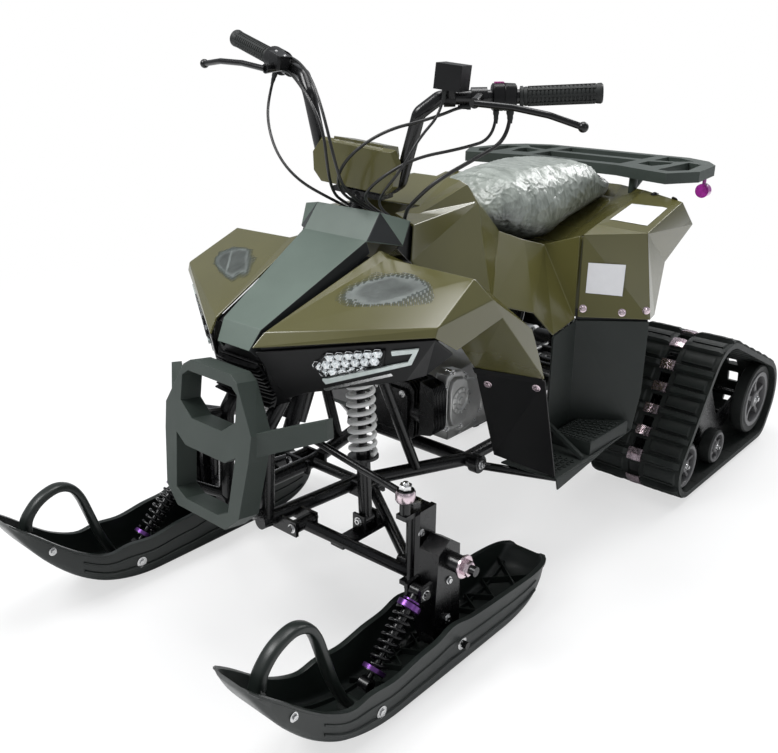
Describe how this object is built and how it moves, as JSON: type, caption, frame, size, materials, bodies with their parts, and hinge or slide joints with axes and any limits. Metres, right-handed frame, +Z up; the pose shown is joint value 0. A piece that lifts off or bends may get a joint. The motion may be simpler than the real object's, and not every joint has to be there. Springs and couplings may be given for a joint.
{
  "type": "youth tracked all-terrain vehicle with front skis",
  "caption": "Small all-terrain vehicle with steered front skis and triangular rear track units, faceted bodywork, handlebars, seat and rear rack.",
  "frame": {"origin": "on the ground under the middle of the vehicle's box", "axes": "+Y to the rear, +X to the rider's left, +Z up; the longest extent lies along Y"},
  "size_m": [0.778, 1.7039, 0.9609],
  "materials": {
    "frame_black": "black powder coat",
    "cast_silver": "satin cast aluminium",
    "dark_matte": "matt dark grey-green moulded plastic",
    "black_plastic": "matt black plastic",
    "lens": "clear lens over a silver reflector",
    "olive_gloss": "glossy olive moulded plastic",
    "seat_vinyl": "pale grey vinyl under a clear film",
    "reflector_red": "magenta-red reflector",
    "shock_black": "black damper with purple rings",
    "spring_white": "white powder-coated spring",
    "wheel_grey": "grey moulded wheel",
    "zinc": "zinc-plated steel",
    "exhaust": "dull steel",
    "track_rubber": "black moulded rubber",
    "rubber": "black rubber",
    "ski_plastic": "black moulded polyethylene"
  },
  "bodies": {
    "root": {"frame": "frame_black", "engine": "cast_silver", "engine_cover": "cast_silver", "hood": "dark_matte", "grille": "black_plastic", "front_bumper": "dark_matte", "headlight_panels": "black_plastic", "headlights": "lens", "splash_guards": "black_plastic", "body_cover": "olive_gloss", "rear_fender": "olive_gloss", "seat": "seat_vinyl", "cargo_rack": "dark_matte", "rear_reflectors": "reflector_red", "lower_arms": "frame_black", "front_shocks": "shock_black", "front_springs": "spring_white", "track_wheels": "wheel_grey", "track_frames": "frame_black", "rear_axle": "zinc", "swingarm": "frame_black", "rear_shock": "shock_black", "muffler": "exhaust", "left_front_fender": "olive_gloss", "right_front_fender": "olive_gloss", "left_footwell": "dark_matte", "right_footwell": "dark_matte", "left_track": "track_rubber", "right_track": "track_rubber", "control_cables": "rubber"},
    "steering": {"handlebar": "frame_black", "handlebar_grips": "rubber", "steering_stem": "frame_black", "bar_cover": "olive_gloss", "control_box": "black_plastic", "left_switch_housing": "black_plastic", "throttle_housing": "black_plastic", "left_brake_lever": "frame_black", "right_brake_lever": "frame_black"},
    "left_ski_leg": {"left_spindle": "frame_black", "left_ski": "ski_plastic", "left_ski_loop": "frame_black", "left_ski_shock": "shock_black"},
    "left_tie_rod": {"left_tie_rod": "frame_black"},
    "right_ski_leg": {"right_spindle": "frame_black", "right_ski": "ski_plastic", "right_ski_loop": "frame_black", "right_ski_shock": "shock_black"},
    "right_tie_rod": {"right_tie_rod": "frame_black"}
  },
  "joints": [
    {"name": "steering_turn", "type": "hinge", "parent": "root", "child": "steering", "pos_m": [0, -0.278, 0.73], "axis": [0, 0.4226, 0.9063], "range_deg": [-25, 25], "deforming": ["control_cables"]},
    {"name": "left_ski_turn", "type": "hinge", "parent": "root", "child": "left_ski_leg", "pos_m": [0.25, -0.435, 0.187], "axis": [0, 0, 1], "range_deg": [-26, 26]},
    {"name": "left_tie_rod_swing", "type": "hinge", "parent": "left_ski_leg", "child": "left_tie_rod", "pos_m": [0.262, -0.473, 0.294], "axis": [0, 0, 1], "range_deg": [-30.18, 30.18]},
    {"name": "right_ski_turn", "type": "hinge", "parent": "root", "child": "right_ski_leg", "pos_m": [-0.25, -0.435, 0.187], "axis": [0, 0, 1], "range_deg": [-26, 26]},
    {"name": "right_tie_rod_swing", "type": "hinge", "parent": "right_ski_leg", "child": "right_tie_rod", "pos_m": [-0.262, -0.473, 0.294], "axis": [0, 0, 1], "range_deg": [-30.18, 30.18]}
  ],
  "couplings": [
    {"joint": "left_ski_turn", "follows": "steering_turn", "ratio": 1},
    {"joint": "left_tie_rod_swing", "follows": "steering_turn", "ratio": -1.127},
    {"joint": "right_ski_turn", "follows": "steering_turn", "ratio": 1},
    {"joint": "right_tie_rod_swing", "follows": "steering_turn", "ratio": -1.127}
  ]
}
